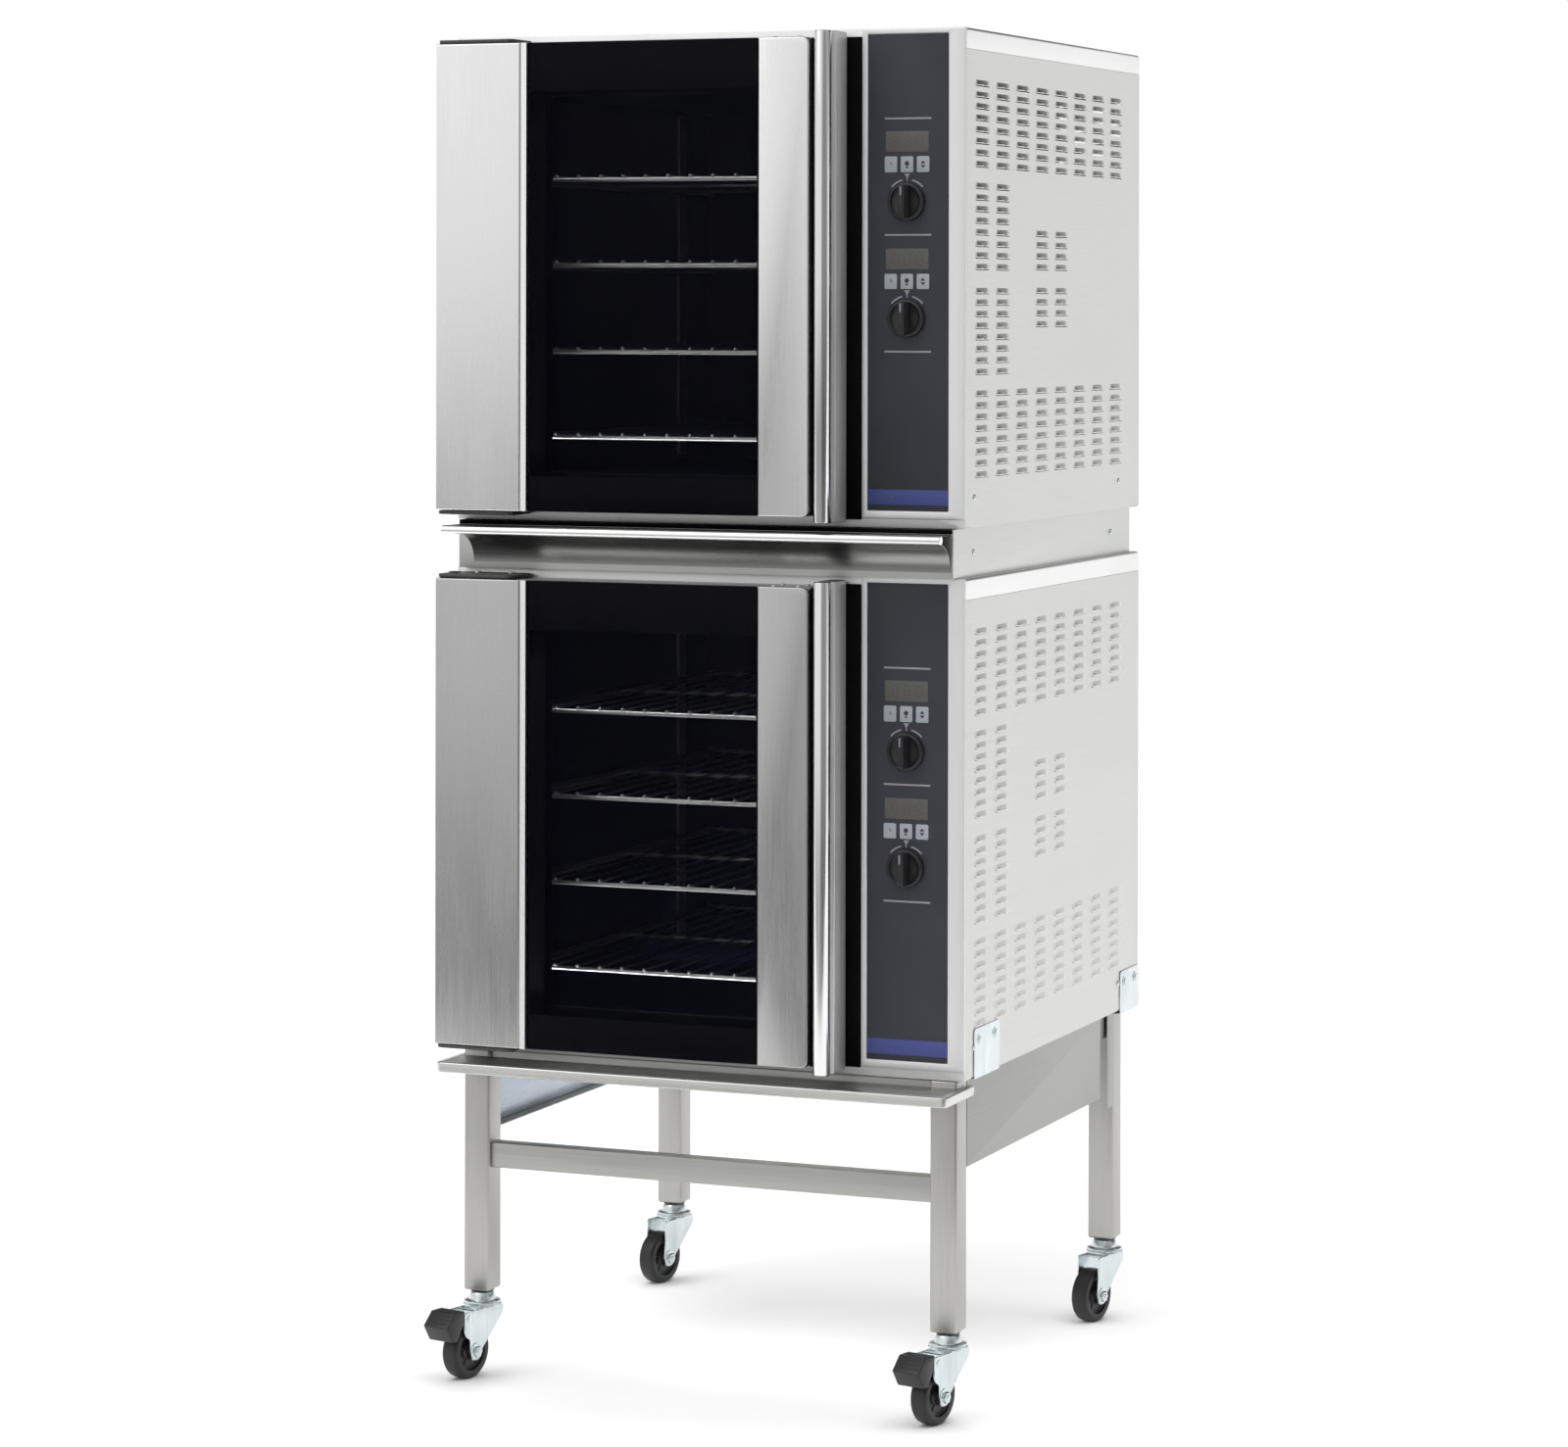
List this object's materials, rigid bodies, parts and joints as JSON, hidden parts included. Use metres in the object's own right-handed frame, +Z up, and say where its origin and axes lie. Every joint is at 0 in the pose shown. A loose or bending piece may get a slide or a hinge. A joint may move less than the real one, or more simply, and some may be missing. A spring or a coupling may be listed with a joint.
{
  "type": "stacked convection oven on stand",
  "caption": "Tall stack of glass-door convection ovens with wire racks, digital side controls and louvred sides, on a wheeled steel stand.",
  "frame": {"origin": "on the floor, under the middle of the whole stack's bounding box", "axes": "+Z up, -Y the front with the doors and controls, +X towards the control column's side"},
  "size_m": [0.7526, 0.8422, 1.82],
  "materials": {
    "case_steel": "fine brushed stainless sheet",
    "door_steel": "brushed stainless, grain upright",
    "cavity_steel": "dull stainless sheet",
    "panel_film": "dark matt film with light keys",
    "door_glass": "toughened glass, dark tint",
    "black_plastic": "moulded black plastic",
    "rack_wire": "bright plated wire",
    "seal_rubber": "soft silicone seal",
    "motor_paint": "grey enamel",
    "element_sheath": "oxidised sheath",
    "insulation": "mineral wool slab",
    "hinge_steel": "plain steel plate",
    "stand_steel": "satin stainless tube and sheet",
    "caster_zinc": "bright zinc plate",
    "wheel_rubber": "black rubber"
  },
  "bodies": {
    "oven_stack": {"lower_top_panel": "case_steel", "upper_top_panel": "case_steel", "lower_left_side_panel": "case_steel", "upper_left_side_panel": "case_steel", "lower_right_side_panel": "case_steel", "upper_right_side_panel": "case_steel", "lower_rear_panel": "case_steel", "upper_rear_panel": "case_steel", "lower_base_pan": "case_steel", "upper_base_pan": "case_steel", "lower_front_fascia": "case_steel", "upper_front_fascia": "case_steel", "lower_control_panel": "panel_film", "upper_control_panel": "panel_film", "lower_cavity_liner": "cavity_steel", "upper_cavity_liner": "cavity_steel", "lower_rack_guides": "cavity_steel", "upper_rack_guides": "cavity_steel", "fan_baffles": "cavity_steel", "door_seals": "seal_rubber", "fan_motors": "motor_paint", "cable_glands": "black_plastic", "heating_elements": "element_sheath", "insulation_jackets": "insulation", "hinge_brackets": "hinge_steel", "riser": "stand_steel", "stand_frame": "stand_steel", "stand_side_panels": "stand_steel", "stand_top_rim": "stand_steel", "fixing_brackets": "hinge_steel"},
    "lower_door": {"lower_door_frame": "door_steel", "lower_door_glass": "door_glass", "lower_door_handle": "door_steel"},
    "lower_time_knob": {"lower_time_knob": "black_plastic"},
    "lower_temperature_knob": {"lower_temperature_knob": "black_plastic"},
    "lower_fan_impeller": {"lower_fan_impeller": "cavity_steel"},
    "lower_rack_1": {"lower_rack_1": "rack_wire"},
    "lower_rack_2": {"lower_rack_2": "rack_wire"},
    "lower_rack_3": {"lower_rack_3": "rack_wire"},
    "lower_rack_4": {"lower_rack_4": "rack_wire"},
    "upper_door": {"upper_door_frame": "door_steel", "upper_door_glass": "door_glass", "upper_door_handle": "door_steel"},
    "upper_time_knob": {"upper_time_knob": "black_plastic"},
    "upper_temperature_knob": {"upper_temperature_knob": "black_plastic"},
    "upper_fan_impeller": {"upper_fan_impeller": "cavity_steel"},
    "upper_rack_1": {"upper_rack_1": "rack_wire"},
    "upper_rack_2": {"upper_rack_2": "rack_wire"},
    "upper_rack_3": {"upper_rack_3": "rack_wire"},
    "upper_rack_4": {"upper_rack_4": "rack_wire"},
    "front_left_caster_fork": {"front_left_caster_fork": "caster_zinc"},
    "front_left_caster_wheel": {"front_left_caster_wheel": "wheel_rubber"},
    "front_left_brake_pedal": {"front_left_brake_pedal": "black_plastic"},
    "front_right_caster_fork": {"front_right_caster_fork": "caster_zinc"},
    "front_right_caster_wheel": {"front_right_caster_wheel": "wheel_rubber"},
    "front_right_brake_pedal": {"front_right_brake_pedal": "black_plastic"},
    "rear_left_caster_fork": {"rear_left_caster_fork": "caster_zinc"},
    "rear_left_caster_wheel": {"rear_left_caster_wheel": "wheel_rubber"},
    "rear_right_caster_fork": {"rear_right_caster_fork": "caster_zinc"},
    "rear_right_caster_wheel": {"rear_right_caster_wheel": "wheel_rubber"}
  },
  "joints": [
    {"name": "lower_door_hinge", "type": "hinge", "parent": "oven_stack", "child": "lower_door", "pos_m": [-0.35266, -0.36693, 0.765], "axis": [0, 0, -1], "range_deg": [0, 110]},
    {"name": "lower_time_knob_turn", "type": "hinge", "parent": "oven_stack", "child": "lower_time_knob", "pos_m": [0.29084, -0.34693, 0.8726], "axis": [0, -1, 0], "continuous": true},
    {"name": "lower_temperature_knob_turn", "type": "hinge", "parent": "oven_stack", "child": "lower_temperature_knob", "pos_m": [0.29084, -0.34693, 0.72], "axis": [0, -1, 0], "continuous": true},
    {"name": "lower_fan_spin", "type": "hinge", "parent": "oven_stack", "child": "lower_fan_impeller", "pos_m": [0.20484, 0.03307, 0.765], "axis": [1, 0, 0], "continuous": true},
    {"name": "lower_rack_1_slide", "type": "slide", "parent": "oven_stack", "child": "lower_rack_1", "axis": [0, -1, 0], "range_m": [0, 0.02]},
    {"name": "lower_rack_2_slide", "type": "slide", "parent": "oven_stack", "child": "lower_rack_2", "axis": [0, -1, 0], "range_m": [0, 0.02]},
    {"name": "lower_rack_3_slide", "type": "slide", "parent": "oven_stack", "child": "lower_rack_3", "axis": [0, -1, 0], "range_m": [0, 0.02]},
    {"name": "lower_rack_4_slide", "type": "slide", "parent": "oven_stack", "child": "lower_rack_4", "axis": [0, -1, 0], "range_m": [0, 0.02]},
    {"name": "upper_door_hinge", "type": "hinge", "parent": "oven_stack", "child": "upper_door", "pos_m": [-0.35266, -0.36693, 1.485], "axis": [0, 0, -1], "range_deg": [0, 110]},
    {"name": "upper_time_knob_turn", "type": "hinge", "parent": "oven_stack", "child": "upper_time_knob", "pos_m": [0.29084, -0.34693, 1.5926], "axis": [0, -1, 0], "continuous": true},
    {"name": "upper_temperature_knob_turn", "type": "hinge", "parent": "oven_stack", "child": "upper_temperature_knob", "pos_m": [0.29084, -0.34693, 1.44], "axis": [0, -1, 0], "continuous": true},
    {"name": "upper_fan_spin", "type": "hinge", "parent": "oven_stack", "child": "upper_fan_impeller", "pos_m": [0.20484, 0.03307, 1.485], "axis": [1, 0, 0], "continuous": true},
    {"name": "upper_rack_1_slide", "type": "slide", "parent": "oven_stack", "child": "upper_rack_1", "axis": [0, -1, 0], "range_m": [0, 0.02]},
    {"name": "upper_rack_2_slide", "type": "slide", "parent": "oven_stack", "child": "upper_rack_2", "axis": [0, -1, 0], "range_m": [0, 0.02]},
    {"name": "upper_rack_3_slide", "type": "slide", "parent": "oven_stack", "child": "upper_rack_3", "axis": [0, -1, 0], "range_m": [0, 0.02]},
    {"name": "upper_rack_4_slide", "type": "slide", "parent": "oven_stack", "child": "upper_rack_4", "axis": [0, -1, 0], "range_m": [0, 0.02]},
    {"name": "front_left_caster_swivel", "type": "hinge", "parent": "oven_stack", "child": "front_left_caster_fork", "pos_m": [-0.33316, -0.31793, 0.115], "axis": [0, 0, 1], "continuous": true},
    {"name": "front_left_caster_roll", "type": "hinge", "parent": "front_left_caster_fork", "child": "front_left_caster_wheel", "pos_m": [-0.34126, -0.35301, 0.0375], "axis": [0.9744, -0.225, 0], "continuous": true},
    {"name": "front_left_brake_release", "type": "hinge", "parent": "front_left_caster_fork", "child": "front_left_brake_pedal", "pos_m": [-0.34441, -0.36665, 0.084], "axis": [-0.9744, 0.225, 0], "range_deg": [0, 14]},
    {"name": "front_right_caster_swivel", "type": "hinge", "parent": "oven_stack", "child": "front_right_caster_fork", "pos_m": [0.34284, -0.31793, 0.115], "axis": [0, 0, 1], "continuous": true},
    {"name": "front_right_caster_roll", "type": "hinge", "parent": "front_right_caster_fork", "child": "front_right_caster_wheel", "pos_m": [0.33474, -0.35301, 0.0375], "axis": [0.9744, -0.225, 0], "continuous": true},
    {"name": "front_right_brake_release", "type": "hinge", "parent": "front_right_caster_fork", "child": "front_right_brake_pedal", "pos_m": [0.33159, -0.36665, 0.084], "axis": [-0.9744, 0.225, 0], "range_deg": [0, 14]},
    {"name": "rear_left_caster_swivel", "type": "hinge", "parent": "oven_stack", "child": "rear_left_caster_fork", "pos_m": [-0.33316, 0.33707, 0.115], "axis": [0, 0, 1], "continuous": true},
    {"name": "rear_left_caster_roll", "type": "hinge", "parent": "rear_left_caster_fork", "child": "rear_left_caster_wheel", "pos_m": [-0.34126, 0.30199, 0.0375], "axis": [0.9744, -0.225, 0], "continuous": true},
    {"name": "rear_right_caster_swivel", "type": "hinge", "parent": "oven_stack", "child": "rear_right_caster_fork", "pos_m": [0.34284, 0.33707, 0.115], "axis": [0, 0, 1], "continuous": true},
    {"name": "rear_right_caster_roll", "type": "hinge", "parent": "rear_right_caster_fork", "child": "rear_right_caster_wheel", "pos_m": [0.33474, 0.30199, 0.0375], "axis": [0.9744, -0.225, 0], "continuous": true}
  ]
}
